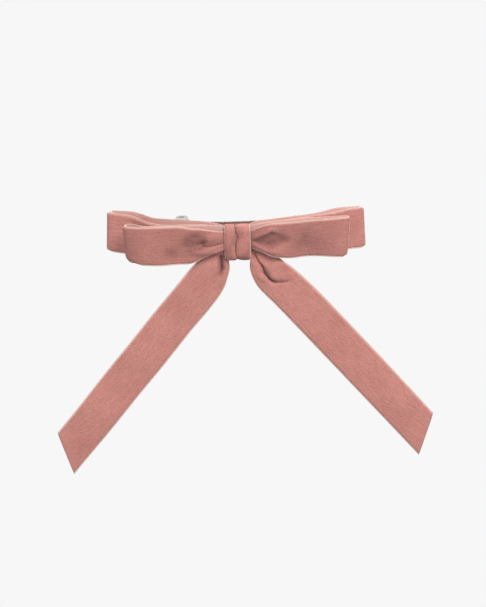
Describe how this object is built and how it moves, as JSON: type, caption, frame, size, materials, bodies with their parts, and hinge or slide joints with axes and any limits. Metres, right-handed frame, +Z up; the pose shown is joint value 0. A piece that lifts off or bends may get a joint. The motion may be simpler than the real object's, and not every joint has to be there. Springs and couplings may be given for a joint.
{
  "type": "hair barrette",
  "caption": "Velvet ribbon bow barrette: looped bow with a pleated knot and long slanted tails on a sprung metal clip whose arm swings out.",
  "frame": {"origin": "middle of the gap between the tension spring and the closing arm, where the hair goes", "axes": "+X along the clip towards the hinge, +Y from the front of the bow to the back of the clip, +Z up with the tails hanging down"},
  "size_m": [0.2063, 0.0264, 0.1443],
  "materials": {
    "velvet": "dusty rose cotton-backed velvet with a soft matt pile",
    "thread": "matt sewing thread",
    "nickel": "nickel-plated pressed steel",
    "spring_steel": "bright spring steel"
  },
  "bodies": {
    "bow_and_plate": {"base_plate": "nickel", "hinge_pin": "nickel", "catch_bracket": "nickel", "catch_rivet": "nickel", "plate_stitches": "thread", "rear_bow_ribbon": "velvet", "front_bow_ribbon": "velvet", "tail_ribbon": "velvet", "knot_ribbon": "velvet", "gather_thread": "thread"},
    "arm": {"closing_arm": "nickel"},
    "spring": {"tension_spring": "spring_steel"},
    "upper_ear": {"catch_ear_upper": "nickel"},
    "lower_ear": {"catch_ear_lower": "nickel"}
  },
  "joints": [
    {"name": "arm_hinge", "type": "hinge", "parent": "bow_and_plate", "child": "arm", "pos_m": [0.0322, 0.00375, 0], "axis": [0, 0, -1], "range_deg": [0, 70]},
    {"name": "spring_flex", "type": "hinge", "parent": "bow_and_plate", "child": "spring", "pos_m": [0.0322, 0.00375, 0], "axis": [0, 0, 1], "range_deg": [0, 1.4], "stiffness_Nm_per_rad": 0.05},
    {"name": "upper_ear_pinch", "type": "hinge", "parent": "bow_and_plate", "child": "upper_ear", "pos_m": [-0.0299, 0.00305, 0.0025], "axis": [-1, 0, 0], "range_deg": [0, 3], "stiffness_Nm_per_rad": 0.01},
    {"name": "lower_ear_pinch", "type": "hinge", "parent": "bow_and_plate", "child": "lower_ear", "pos_m": [-0.0299, 0.00305, -0.0025], "axis": [1, 0, 0], "range_deg": [0, 3], "stiffness_Nm_per_rad": 0.01}
  ],
  "couplings": [
    {"joint": "lower_ear_pinch", "follows": "upper_ear_pinch", "ratio": 1}
  ]
}
